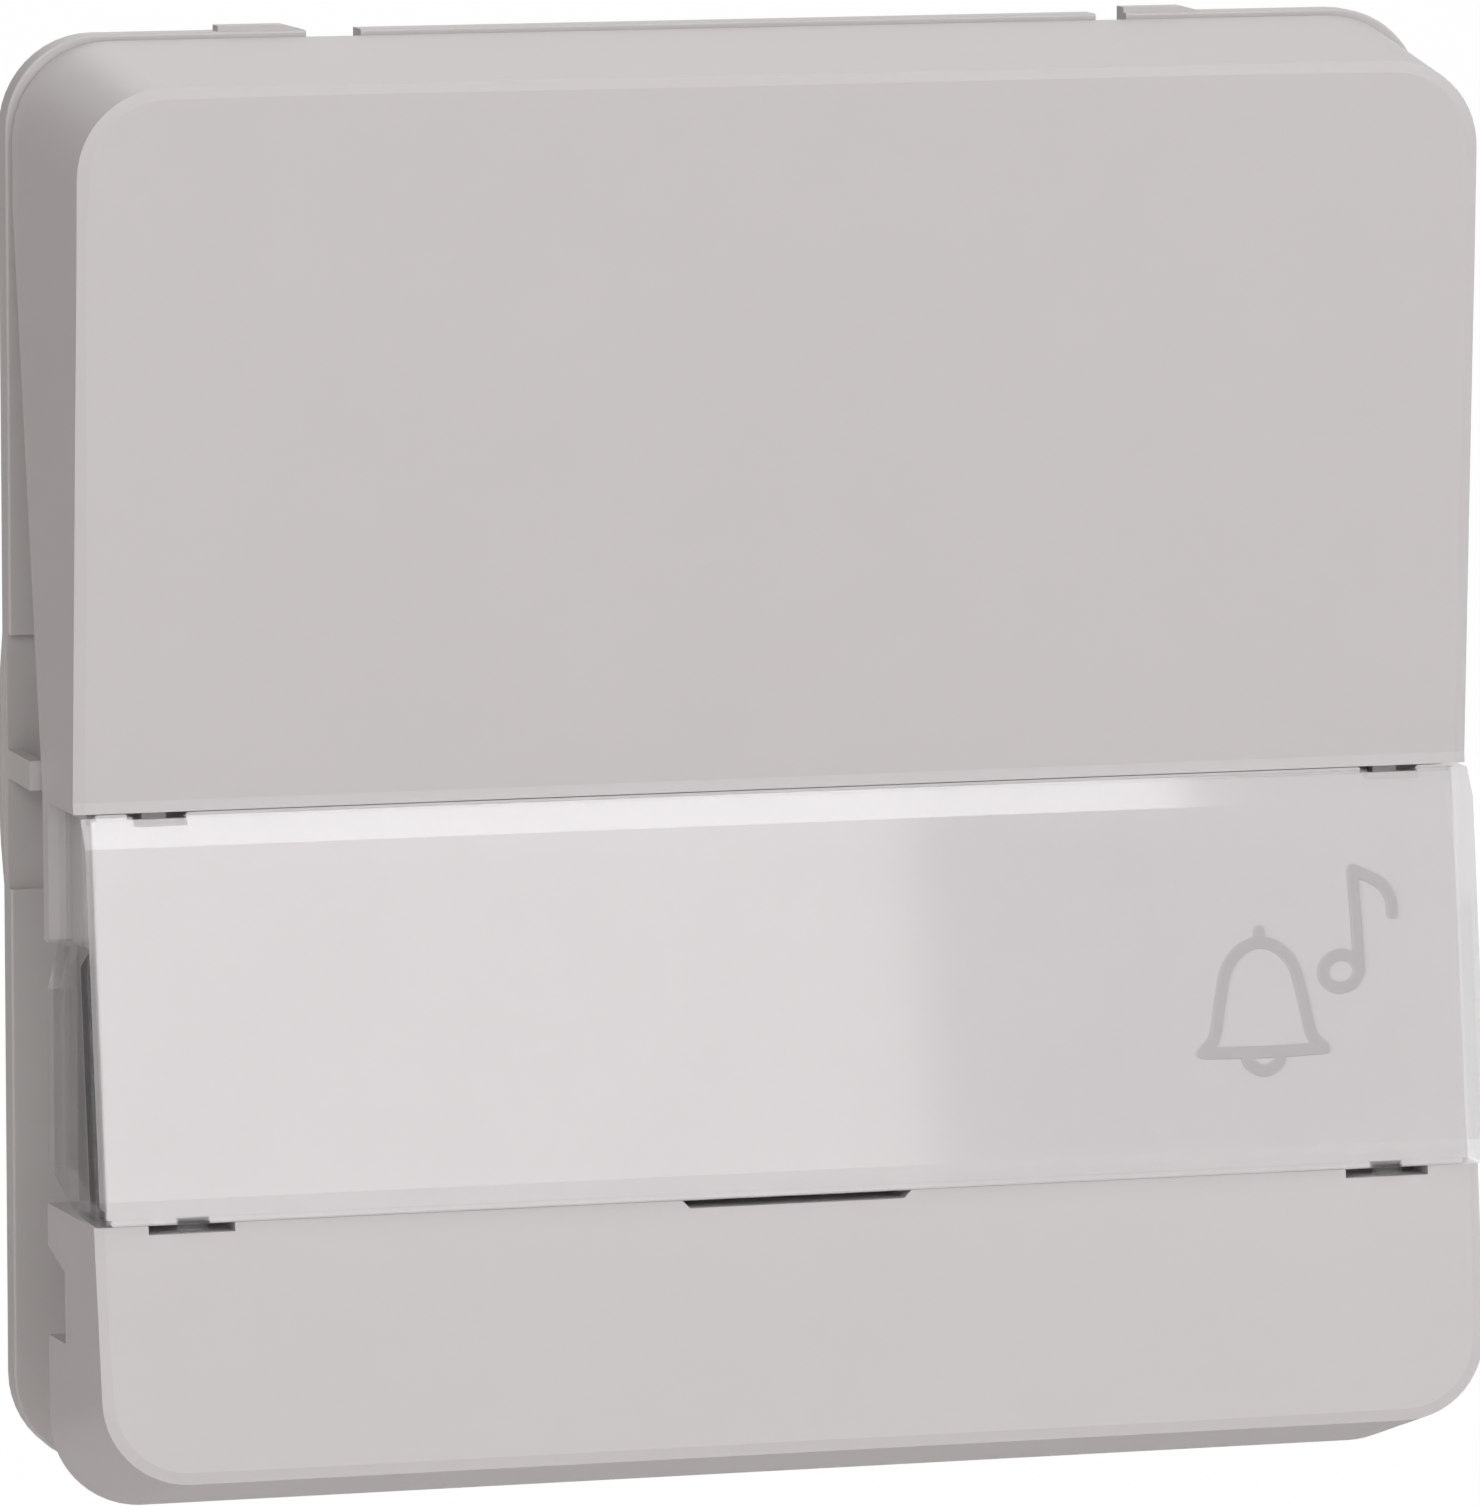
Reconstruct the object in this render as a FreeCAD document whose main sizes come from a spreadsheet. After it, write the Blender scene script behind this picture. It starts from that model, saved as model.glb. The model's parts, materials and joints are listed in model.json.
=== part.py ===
import FreeCAD, Part
import math
import os
import re
import Sketcher

Vector = FreeCAD.Vector
TOUCH = 0.02

# Bell push for a wall: a square back frame, a rocking key with a V-shaped face, a clear label
# window in the key, and a small sealed switch behind the frame. X runs right, Y into the wall
# and Z up. The origin is the centre of the frame's back face. Depths count forward from it.
SIZES = {
    # back frame
    "flange_width": 66.0,
    "flange_low": 31.2,
    "flange_thick": 1.4,
    "flange_corner": 4.2,
    "flange_edge": 0.12,
    "plate_thick": 2.4,
    "plate_corner": 3.0,
    "collar_gap": 1.7,
    "collar_wall": 1.4,
    "collar_depth": 4.6,
    "tab_rise": 0.24,
    "tab_thick": 1.0,
    "tab_slope": 0.9,
    "tab_left": -16.81,
    "tab_right": 17.44,
    "tab_gap_left": 2.5,
    "tab_gap_right": 1.44,
    "tab_width_left": 3.93,
    "tab_width_right": 3.7,
    "tab_notch": 0.4,
    "tongue_top": 6.4,
    "tongue_bottom": -5.0,
    "tongue_step": 0.45,
    "tongue_reach": 2.2,
    "tongue_bow": 0.25,
    "tongue_thick": 0.5,
    "rib_centre": 0.6,
    "rib_height": 1.3,
    "rib_wall": 0.6,
    "stop_radius": 1.6,
    "stop_beside_screw": 2.0,
    "stop_above_screw": 5.5,
    "stop_gap": 0.3,
    # rocking axis and its bearings
    "pivot_height": 0.6,
    "trunnion_radius": 1.2,
    "trunnion_length": 2.0,
    "trunnion_clearance": 0.05,
    "ear_half": 2.4,
    "ear_wrap": 0.5,
    "ear_gap": 0.385,
    "key_travel": 4.4,
    # key
    "key_side_inset": 0.15,
    "key_top_inset": 0.06,
    "key_bottom_reach": 2.75,
    "key_side_draft": 1.0,
    "key_top_draft": 2.1,
    "key_bottom_draft": 4.6,
    "block_margin": 0.5,
    "key_rear_corner": 4.4,
    "key_front_corner": 3.8,
    "face_depth": 10.43,
    "face_upper_angle": 2.63,
    "face_lower_angle": 8.53,
    "bevel_width": 0.5,
    "bevel_drop": 0.12,
    "face_wall": 1.8,
    "skirt_depth": 5.6,
    "skirt_upper_angle": 8.9,
    "skirt_lower_angle": 1.0,
    "skirt_wall": 1.3,
    "rest_gap": 0.2,
    "skirt_notch_top": -20.3,
    "skirt_notch_bottom": -24.3,
    "skirt_notch_depth": 2.6,
    "skirt_notch_slope": 0.8,
    # label recess in the key
    "recess_top": -0.5,
    "recess_bottom": -18.4,
    "recess_break": -6.6,
    "recess_wall": 1.2,
    # clear window
    "window_depth": 11.69,
    "window_wall": 1.2,
    "window_proud": 0.2,
    "window_gap": 0.1,
    "window_top_chamfer": 1.25,
    "window_bottom_chamfer": 1.2,
    "window_chamfer_drop": 0.66,
    "wing_wall": 0.55,
    "wing_gap": 0.15,
    "wing_upper_depth": 6.6,
    "wing_lower_depth": 4.3,
    "wing_bend_top": -6.7,
    "wing_bend_bottom": -9.1,
    "wing_foot_rise": 1.4,
    "wing_foot_length": 5.3,
    "clip_inset": 3.55,
    "clip_width": 2.4,
    "clip_drop": 0.4,
    "hook_width": 1.1,
    "hook_drop": 0.45,
    "hook_sink": 0.4,
    "hook_thick": 0.8,
    "snap_width": 1.2,
    "snap_sink": 0.84,
    "snap_thick": 0.6,
    "slot_inset": 4.4,
    "slot_width": 3.9,
    "slot_drop": 0.4,
    "slot_reach": 3.6,
    "pry_width": 10.6,
    "pry_drop": 0.35,
    # label stack
    "label_side_gap": 0.05,
    "label_margin": 0.2,
    "label_thick": 0.3,
    "backing_margin": 0.5,
    "backing_thick": 1.0,
    "pad_thick": 1.8,
    "pad_drop": 0.9,
    "stack_gap": 0.05,
    # switch housing
    "housing_width": 43.0,
    "housing_corner": 2.5,
    "housing_depth": 24.0,
    "housing_wall": 1.5,
    "housing_floor": 2.5,
    "housing_chamfer": 1.2,
    "field_width": 22.0,
    "field_top": 13.0,
    "field_bottom": 3.0,
    "field_depth": 0.3,
    "cover_thick": 1.6,
    "cover_sink": 0.4,
    "cover_clearance": 0.15,
    "screw_inset": 3.5,
    "screw_radius": 1.2,
    "screw_clearance": 0.1,
    "screw_head_radius": 2.3,
    "screw_head_thick": 1.5,
    "screw_drive_radius": 1.1,
    "screw_drive_depth": 0.9,
    "screw_length": 9.0,
    "screw_boss_radius": 2.5,
    # plunger and its guide
    "plunger_inset": 4.0,
    "plunger_radius": 2.8,
    "plunger_clearance": 0.06,
    "plunger_lost_motion": 0.05,
    "plunger_stop_gap": 0.3,
    "plunger_block_half_x": 3.0,
    "plunger_block_half_z": 2.6,
    "plunger_block_depth": 5.6,
    "tower_radius": 5.0,
    "tower_depth": 4.0,
    "tower_clearance": 0.15,
    "nub_radius": 1.5,
    "nub_width": 5.0,
    "nub_rear_depth": 6.2,
    "seal_wall": 1.0,
    "seal_lip": 0.8,
    "seal_clearance": 0.1,
    # contacts
    "bridge_margin": 0.4,
    "bridge_height": 3.2,
    "bridge_thick": 0.6,
    "bridge_set": 4.5,
    "rivet_place": 7.0,
    "rivet_radius": 1.2,
    "rivet_rise": 0.5,
    "contact_gap": 1.4,
    "contact_thick": 0.8,
    "contact_margin": 0.6,
    "contact_wire_gap": 0.1,
    "contact_half_height": 2.5,
    "contact_leg_rise": 2.9,
    # return spring
    "spring_wire": 0.5,
    "spring_radius": 2.3,
    "spring_turns": 5.0,
    "spring_sides": 8,
    "spring_seat_radius": 3.2,
    "spring_pin_radius": 1.6,
    "spring_seat_rise": 6.5,
    # wire clamps
    "wire_radius": 1.3,
    "wire_funnel_radius": 1.9,
    "wire_funnel_depth": 0.6,
    "wire_place_x": 11.2,
    "wire_upper": -8.4,
    "wire_lower": -14.6,
    "wire_boss": 1.5,
    "clamp_thick": 0.4,
    "clamp_inset": 2.8,
    "clamp_peak_rise": 8.9,
    "clamp_tip_rise": 4.1,
    "clamp_arm": 1.6,
    "clamp_bend": 0.52,
    "clamp_gap": 0.3,
    "clamp_side_gap": 0.8,
    "lever_width": 4.0,
    "lever_height": 1.8,
    "lever_inset": 2.8,
    "lever_clearance": 0.15,
    "lever_head": 0.9,
    "lever_tip_rise": 5.5,
    "lever_gap": 0.3,
    "lever_collar": 0.8,
    "lever_collar_thick": 1.0,
    # back seal
    "ring_inset": 1.4,
    "ring_width": 1.8,
    "ring_depth": 0.7,
}

doc = FreeCAD.newDocument("BellPush")
sheet = doc.addObject("Spreadsheet::Sheet", "sizes")
for row, (alias, value) in enumerate(SIZES.items(), 1):
    sheet.set(f"A{row}", alias)
    sheet.set(f"B{row}", str(value))
    sheet.setAlias(f"B{row}", alias)
doc.recompute()


def bound(text):
    """Name the sheet in front of each size that an expression uses."""
    return re.sub(r"\b([a-z]+_[a-z_]+)\b", r"sizes.\1", str(text))


def number(text):
    """Value of an expression, for the first place of a sketch line."""
    return float(sheet.evalExpression(bound(text)))


def slope(angle):
    """Rise per millimetre of a plane that leans by an angle in the sheet."""
    return f"tan({angle} * 1 deg)"


# Depths of the main faces at a height, as expressions
def upperFace(height):
    return f"(face_depth + {slope('face_upper_angle')} * ({height}))"


def lowerFace(height):
    return f"(face_depth - {slope('face_lower_angle')} * ({height}))"


def upperSkirt(height):
    return f"(skirt_depth - {slope('skirt_upper_angle')} * ({height}))"


def lowerSkirt(height):
    return f"(skirt_depth - {slope('skirt_lower_angle')} * ({height}))"


def windowFace(height, below="0"):
    behind = f"({below}) / cos(face_lower_angle * 1 deg)"
    return f"(window_depth - {slope('face_lower_angle')} * ({height}) - {behind})"


FLANGE_HALF = "(flange_width / 2)"
KEY_HALF = f"({FLANGE_HALF} - key_side_inset)"
KEY_FRONT_HALF = f"({KEY_HALF} - key_side_draft)"
KEY_TOP = f"({FLANGE_HALF} - key_top_inset)"
KEY_FRONT_TOP = f"({KEY_TOP} - key_top_draft)"
KEY_BOTTOM = "(-flange_low - key_bottom_reach)"
KEY_FRONT_BOTTOM = f"({KEY_BOTTOM} + key_bottom_draft)"
KEY_BLOCK = f"({lowerFace(KEY_BOTTOM)} + block_margin)"
WINDOW_HALF = f"({KEY_FRONT_HALF} + window_proud)"
WINDOW_TOP = "(recess_top - window_gap)"
WINDOW_BOTTOM = "(recess_bottom + window_gap)"
KEY_ROOM_HALF = f"({WINDOW_HALF} - wing_wall - wing_gap - skirt_wall)"
CLIP_PLACE = f"({WINDOW_HALF} - clip_inset)"
SLOT_PLACE = f"({WINDOW_HALF} - slot_inset)"
LABEL_HALF = f"({WINDOW_HALF} - wing_wall - label_side_gap)"
STACK_BELOW_LABEL = "(window_wall + stack_gap)"
STACK_BELOW_BACKING = "(window_wall + 2 * stack_gap + label_thick)"
STACK_BELOW_PAD = "(window_wall + 3 * stack_gap + label_thick + backing_thick)"
RECESS_DEPTH = "(window_wall + 3 * stack_gap + label_thick + backing_thick + pad_thick)"
FRONT_LIMIT = f"({KEY_BLOCK} + face_wall)"
KEY_CUT_WIDTH = f"(2 * {KEY_HALF} + face_wall)"
PIVOT_DEPTH = f"({windowFace('recess_top', STACK_BELOW_PAD)} - recess_wall - ear_gap - ear_wrap)"
PLATE_HALF = f"({KEY_ROOM_HALF} - collar_gap)"
PLATE_BOTTOM = f"({KEY_FRONT_BOTTOM} + skirt_wall + collar_gap)"
REST_DEPTH = "(flange_thick + rest_gap)"
REST_HEIGHT = f"((skirt_depth - flange_thick - rest_gap) / {slope('skirt_upper_angle')})"
HOUSING_INNER = "(housing_width / 2 - housing_wall)"
HOUSING_FLOOR = "(housing_depth - housing_floor)"
SCREW_PLACE = "(housing_width / 2 - screw_inset)"
STOP_SIDE = f"({SCREW_PLACE} + stop_beside_screw)"
STOP_HEIGHT = f"({SCREW_PLACE} + stop_above_screw)"
PLUNGER_PLACE = f"(plunger_inset - {HOUSING_INNER})"
SPRING_SEAT = f"({HOUSING_FLOOR} - spring_seat_rise)"
BRIDGE_REAR = "(bridge_set + bridge_thick + cover_thick + plunger_stop_gap)"
CONTACT_FACE = "(bridge_set + bridge_thick + cover_thick + plunger_stop_gap + 2 * rivet_rise + contact_gap)"
CONTACT_LOW = f"({PLUNGER_PLACE} - contact_half_height)"
CONTACT_OUTER = "(wire_place_x + wire_radius + contact_wire_gap + contact_thick)"
LEVER_PLACE = "(wire_place_x - lever_inset)"
CLAMP_BASE = f"({LEVER_PLACE} - clamp_inset)"
BLOCK_REAR = "(cover_thick + plunger_stop_gap + plunger_block_depth)"


def newBody(label):
    body = doc.addObject("PartDesign::Body", label)
    body.Label = label
    return body


def plane(body, role):
    for feature in body.Origin.OriginFeatures:
        if feature.Role == role:
            return feature
    raise ValueError(role)


def newSketch(body, role, offset="0"):
    """Sketch on a plane through the body's origin, moved along the plane's normal."""
    sketch = body.newObject("Sketcher::SketchObject", f"{body.Label}_sketch")
    sketch.AttachmentSupport = [(plane(body, role), "")]
    sketch.MapMode = "FlatFace"
    sketch.AttachmentOffset = FreeCAD.Placement(Vector(0, 0, number(offset)), FreeCAD.Rotation())
    sketch.setExpression("AttachmentOffset.Base.z", bound(offset))
    return sketch


def frontSketch(body, depth="0"):
    return newSketch(body, "XZ_Plane", depth)


def sideSketch(body, place="0"):
    return newSketch(body, "YZ_Plane", place)


def topSketch(body, height="0"):
    return newSketch(body, "XY_Plane", height)


def fixPoint(sketch, line, point, x, y):
    """Hold one end of a line at a place given by two expressions."""
    for kind, text in (("DistanceX", x), ("DistanceY", y)):
        index = sketch.addConstraint(Sketcher.Constraint(kind, -1, 1, line, point, number(text)))
        sketch.setExpression(f"Constraints[{index}]", bound(text))


def outline(sketch, points):
    """Closed outline of straight lines through points given as expressions."""
    first = sketch.GeometryCount
    places = [Vector(number(x), number(y), 0) for x, y in points]
    count = len(points)
    for i in range(count):
        sketch.addGeometry(Part.LineSegment(places[i], places[(i + 1) % count]))
    for i in range(count):
        sketch.addConstraint(Sketcher.Constraint("Coincident", first + i, 2, first + (i + 1) % count, 1))
        fixPoint(sketch, first + i, 1, *points[i])


def sideOutline(sketch, points):
    """Outline seen from the side, given as (depth, height) pairs."""
    outline(sketch, [(f"-({depth})", height) for depth, height in points])


def rectangle(sketch, left, right, bottom, top):
    outline(sketch, [(left, bottom), (right, bottom), (right, top), (left, top)])


def circle(sketch, x, y, radius):
    index = sketch.addGeometry(Part.Circle(Vector(number(x), number(y), 0), Vector(0, 0, 1), number(radius)))
    fixPoint(sketch, index, 3, x, y)
    constraint = sketch.addConstraint(Sketcher.Constraint("Radius", index, number(radius)))
    sketch.setExpression(f"Constraints[{constraint}]", bound(radius))


def roundedRectangle(sketch, left, right, bottom, top, corner):
    """Rectangle with four equal round corners, sides tangent to the arcs."""
    first = sketch.GeometryCount
    x0, x1, y0, y1, r = (number(text) for text in (left, right, bottom, top, corner))
    centres = [(x1 - r, y0 + r, -90), (x1 - r, y1 - r, 0), (x0 + r, y1 - r, 90), (x0 + r, y0 + r, 180)]
    corners = []
    for x, y, turn in centres:
        arc = Part.Circle(Vector(x, y, 0), Vector(0, 0, 1), r)
        corners.append(Part.ArcOfCircle(arc, math.radians(turn), math.radians(turn + 90)))
    for i in range(4):
        sketch.addGeometry(Part.LineSegment(corners[i - 1].EndPoint, corners[i].StartPoint))
        sketch.addGeometry(corners[i])
    for i in range(4):
        line = first + 2 * i
        arc = line + 1
        following = first + (2 * i + 2) % 8
        sketch.addConstraint(Sketcher.Constraint("Tangent", line, 2, arc, 1))
        sketch.addConstraint(Sketcher.Constraint("Tangent", arc, 2, following, 1))
        sketch.addConstraint(Sketcher.Constraint("Vertical" if i % 2 else "Horizontal", line))
        if i:
            sketch.addConstraint(Sketcher.Constraint("Equal", first + 1, arc))
    sides = ((0, "DistanceY", bottom), (2, "DistanceX", right), (4, "DistanceY", top), (6, "DistanceX", left))
    for line, kind, text in sides:
        index = sketch.addConstraint(Sketcher.Constraint(kind, -1, 1, first + line, 1, number(text)))
        sketch.setExpression(f"Constraints[{index}]", bound(text))
    index = sketch.addConstraint(Sketcher.Constraint("Radius", first + 1, r))
    sketch.setExpression(f"Constraints[{index}]", bound(corner))


def roundedSquare(sketch, half, corner):
    roundedRectangle(sketch, f"-({half})", half, f"-({half})", half, corner)


def addFeature(body, kind, sketch, length, symmetric=False, backward=False):
    feature = body.newObject(kind, f"{body.Label}_{kind.split('::')[1].lower()}")
    feature.Profile = sketch
    feature.Length = number(length)
    feature.setExpression("Length", bound(length))
    feature.Midplane = symmetric
    feature.Reversed = backward
    doc.recompute()
    return feature


def pad(body, sketch, length, symmetric=False, backward=False):
    before = body.Shape.Volume if body.Shape.Solids else 0
    addFeature(body, "PartDesign::Pad", sketch, length, symmetric, backward)
    if body.Shape.Volume <= before:
        raise ValueError(f"{body.Label}: a pad added nothing")


def pocket(body, sketch, length, symmetric=False, forward=False):
    """Cut a sketch away behind its plane, or in front of it when forward is set."""
    before = body.Shape.Volume
    addFeature(body, "PartDesign::Pocket", sketch, length, symmetric, forward)
    if body.Shape.Volume >= before - 1e-6:
        raise ValueError(f"{body.Label}: a pocket cut nothing")


def finish(body, kind, edges, size):
    """Fillet or chamfer the edges that a test picks out."""
    names = [f"Edge{i}" for i, edge in enumerate(body.Shape.Edges, 1) if edges(edge)]
    if not names:
        raise ValueError(f"{body.Label}: no edge to finish")
    base = body.Tip
    feature = body.newObject(f"PartDesign::{kind}", f"{body.Label}_{kind.lower()}")
    feature.Base = (base, names)
    key = "Radius" if kind == "Fillet" else "Size"
    setattr(feature, key, number(size))
    feature.setExpression(key, bound(size))
    body.Tip = feature
    doc.recompute()


# Back frame
def makeFrame():
    body = newBody("support_frame")
    flange = frontSketch(body)
    roundedRectangle(flange, f"-{FLANGE_HALF}", FLANGE_HALF, "-flange_low", FLANGE_HALF, "flange_corner")
    pad(body, flange, "flange_thick")
    finish(body, "Fillet", lambda edge: abs(edge.BoundBox.YMax + number("flange_thick")) < TOUCH, "flange_edge")
    raised = frontSketch(body)
    plateOutline(raised, "0")
    pad(body, raised, "plate_thick")
    collar = frontSketch(body)
    plateOutline(collar, "0")
    plateOutline(collar, "collar_wall")
    pad(body, collar, "collar_depth")
    addFrameTabs(body)
    addTongues(body)
    addBearings(body)
    addStops(body)
    openings = frontSketch(body)
    circle(openings, "0", PLUNGER_PLACE, "tower_radius + tower_clearance")
    screwCircles(openings, "screw_radius + screw_clearance")
    pocket(body, openings, "plate_thick", forward=True)
    groove = frontSketch(body)
    ringOutline(groove)
    pocket(body, groove, "ring_depth", forward=True)
    seat = frontSketch(body)
    roundedSquare(seat, "housing_width / 2 + cover_clearance", "housing_corner + cover_clearance")
    pocket(body, seat, "cover_sink", forward=True)
    return body


def plateOutline(sketch, inset):
    """Outline of the raised plate, set in on all sides."""
    half = f"({PLATE_HALF} - {inset})"
    roundedRectangle(sketch, f"-{half}", half, f"{PLATE_BOTTOM} + {inset}", half, f"plate_corner - {inset}")


def screwCircles(sketch, radius):
    """One circle at each of the four frame screws."""
    for side in ("-", ""):
        for level in ("-", ""):
            circle(sketch, f"{side}{SCREW_PLACE}", f"{level}{SCREW_PLACE}", radius)


def ringOutline(sketch):
    """The two outlines of the back seal, which follow the flange's edge."""
    for inset in ("ring_inset", "(ring_inset + ring_width)"):
        half = f"({FLANGE_HALF} - {inset})"
        roundedRectangle(sketch, f"-{half}", half, f"{inset} - flange_low", half, f"flange_corner - {inset}")


def addFrameTabs(body):
    """A flush tongue between two notches on the top and bottom edges, and a low clip tab beside each."""
    spans = (
        ("tab_left - tab_gap_left - tab_width_left", "tab_left - tab_gap_left"),
        ("tab_left", "tab_right"),
        ("tab_right + tab_gap_right", "tab_right + tab_gap_right + tab_width_right"),
    )
    for level, edge in (("", FLANGE_HALF), ("-", "flange_low")):
        crest = f"{level}({edge} + tab_rise)"
        root = f"{level}({edge} - tab_notch)"
        notches = frontSketch(body)
        for before, after in zip(spans, spans[1:]):
            rectangle(notches, before[1], after[0], root, crest)
        pocket(body, notches, "flange_thick", forward=True)
        tabs = frontSketch(body)
        for left, right in spans[::2]:
            outline(tabs, [
                (left, root),
                (left, crest),
                (f"{right} - tab_slope", crest),
                (right, f"{level}{edge}"),
                (right, root),
            ])
        pad(body, tabs, "tab_thick")


def addTongues(body):
    """Side tongues: a lowered ledge with a slightly bowed clip edge and the rib at the pivot."""
    ledge = frontSketch(body, "flange_thick")
    for side in ("-", ""):
        rectangle(ledge, f"{side}({FLANGE_HALF} - tongue_reach)", f"{side}({FLANGE_HALF} + tongue_bow)",
                  "tongue_bottom", "tongue_top")
    pocket(body, ledge, "tongue_step")
    ribs = frontSketch(body)
    for side in ("-", ""):
        rectangle(ribs, f"{side}({FLANGE_HALF} - rib_wall)", f"{side}{FLANGE_HALF}",
                  "rib_centre - rib_height / 2", "rib_centre + rib_height / 2")
    pad(body, ribs, "skirt_depth - stop_gap")
    for side in (-1, 1):
        sign = "-" if side < 0 else ""
        bow = frontSketch(body)
        edge = side * number(FLANGE_HALF)
        middle = number("(tongue_top + tongue_bottom) / 2")
        low = Vector(edge, number("tongue_bottom"), 0)
        high = Vector(edge, number("tongue_top"), 0)
        crest = Vector(edge + side * number("tongue_bow"), middle, 0)
        bow.addGeometry(Part.LineSegment(high, low))
        bow.addGeometry(Part.Arc(low, crest, high))
        bow.addConstraint(Sketcher.Constraint("Coincident", 0, 2, 1, 1 if side > 0 else 2))
        bow.addConstraint(Sketcher.Constraint("Coincident", 0, 1, 1, 2 if side > 0 else 1))
        fixPoint(bow, 0, 1, f"{sign}{FLANGE_HALF}", "tongue_top")
        fixPoint(bow, 0, 2, f"{sign}{FLANGE_HALF}", "tongue_bottom")
        chord = "(tongue_top - tongue_bottom)"
        radius = f"({chord} * {chord} / (8 * tongue_bow) + tongue_bow / 2)"
        index = bow.addConstraint(Sketcher.Constraint("Radius", 1, number(radius)))
        bow.setExpression(f"Constraints[{index}]", bound(radius))
        pad(body, bow, "tongue_thick")


def addBearings(body):
    """Ears on the collar's sides, each with an open bearing that a trunnion snaps into."""
    for place in (f"({PLATE_HALF} - collar_wall)", f"-{PLATE_HALF}"):
        ear = sideSketch(body, place)
        sideOutline(ear, [
            ("plate_thick / 2", "pivot_height - ear_half"),
            (f"{PIVOT_DEPTH} + ear_wrap", "pivot_height - ear_half"),
            (f"{PIVOT_DEPTH} + ear_wrap", "pivot_height + ear_half"),
            ("plate_thick / 2", "pivot_height + ear_half"),
        ])
        pad(body, ear, "collar_wall")
    bearing = sideSketch(body)
    circle(bearing, f"-{PIVOT_DEPTH}", "pivot_height", "trunnion_radius + trunnion_clearance")
    pocket(body, bearing, "flange_width", symmetric=True)


def addStops(body):
    """Four posts: the upper pair meets the key at rest, the lower pair when it is pressed."""
    upper = f"{upperFace(STOP_HEIGHT)} - face_wall - stop_gap"
    sink = f"({STOP_HEIGHT} + pivot_height) * sin(key_travel * 1 deg)"
    lower = f"{lowerFace(f'-{STOP_HEIGHT}')} - face_wall - stop_gap - {sink}"
    for level, depth in ((STOP_HEIGHT, upper), (f"-{STOP_HEIGHT}", lower)):
        posts = frontSketch(body)
        circle(posts, f"-{STOP_SIDE}", level, "stop_radius")
        circle(posts, STOP_SIDE, level, "stop_radius")
        pad(body, posts, depth)


# Rocking key
def makeKey():
    outer = makeKeyOutside()
    inside = makeKeyInside()
    shell = doc.addObject("Part::Cut", "key_shell")
    shell.Base = outer
    shell.Tool = inside
    inner = makeKeyInnerParts()
    key = doc.addObject("Part::MultiFuse", "push_plate")
    key.Label = "push_plate"
    key.Shapes = [shell] + inner
    key.Refine = True
    doc.recompute()
    return key


def makeKeyOutside():
    body = newBody("key_outside")
    rear = frontSketch(body)
    roundedRectangle(rear, f"-{KEY_HALF}", KEY_HALF, KEY_BOTTOM, KEY_TOP, "key_rear_corner")
    front = frontSketch(body, KEY_BLOCK)
    roundedRectangle(front, f"-{KEY_FRONT_HALF}", KEY_FRONT_HALF, KEY_FRONT_BOTTOM, KEY_FRONT_TOP,
                     "key_front_corner")
    loft = body.newObject("PartDesign::AdditiveLoft", "key_block")
    loft.Profile = rear
    loft.Sections = [front]
    loft.Ruled = True
    doc.recompute()
    face = sideSketch(body)
    sideOutline(face, [
        (lowerFace(KEY_BOTTOM), KEY_BOTTOM),
        (upperFace("0"), "0"),
        (upperFace(KEY_TOP), KEY_TOP),
        (FRONT_LIMIT, KEY_TOP),
        (FRONT_LIMIT, KEY_BOTTOM),
    ])
    pocket(body, face, KEY_CUT_WIDTH, symmetric=True)
    bevelFace(body)
    skirt = sideSketch(body)
    top = f"{KEY_TOP} + face_wall"
    bottom = f"{KEY_BOTTOM} - face_wall"
    sideOutline(skirt, [
        ("-face_wall", top),
        (REST_DEPTH, top),
        (REST_DEPTH, REST_HEIGHT),
        (upperSkirt("0"), "0"),
        (lowerSkirt("skirt_notch_top"), "skirt_notch_top"),
        (f"{lowerSkirt('skirt_notch_top')} + skirt_notch_depth", "skirt_notch_top - skirt_notch_slope"),
        (f"{lowerSkirt('skirt_notch_bottom')} + skirt_notch_depth", "skirt_notch_bottom"),
        (lowerSkirt("skirt_notch_bottom"), "skirt_notch_bottom"),
        (lowerSkirt(KEY_BOTTOM), KEY_BOTTOM),
        (lowerSkirt(KEY_BOTTOM), bottom),
        ("-face_wall", bottom),
    ])
    pocket(body, skirt, KEY_CUT_WIDTH, symmetric=True)
    recess = sideSketch(body)
    sideOutline(recess, [
        (FRONT_LIMIT, "recess_top"),
        (windowFace("recess_top", STACK_BELOW_PAD), "recess_top"),
        (windowFace("recess_break", STACK_BELOW_PAD), "recess_break"),
        (windowFace("recess_break", RECESS_DEPTH), "recess_break"),
        (windowFace("recess_bottom", RECESS_DEPTH), "recess_bottom"),
        (FRONT_LIMIT, "recess_bottom"),
    ])
    pocket(body, recess, KEY_CUT_WIDTH, symmetric=True)
    addWingSeats(body)
    addClipSlots(body)
    return body


def bevelFace(body):
    """Shallow bevel round the face: wide in the face's plane, low along the sides."""
    names = [f"Edge{i}" for i, edge in enumerate(body.Shape.Edges, 1) if isFaceEdge(edge)]
    base = body.Tip
    bevel = body.newObject("PartDesign::Chamfer", "key_bevel")
    bevel.Base = (base, names)
    bevel.ChamferType = "Two distances"
    for key, size in (("Size", "bevel_drop"), ("Size2", "bevel_width")):
        setattr(bevel, key, number(size))
        bevel.setExpression(key, bound(size))
    body.Tip = bevel
    doc.recompute()


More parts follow.
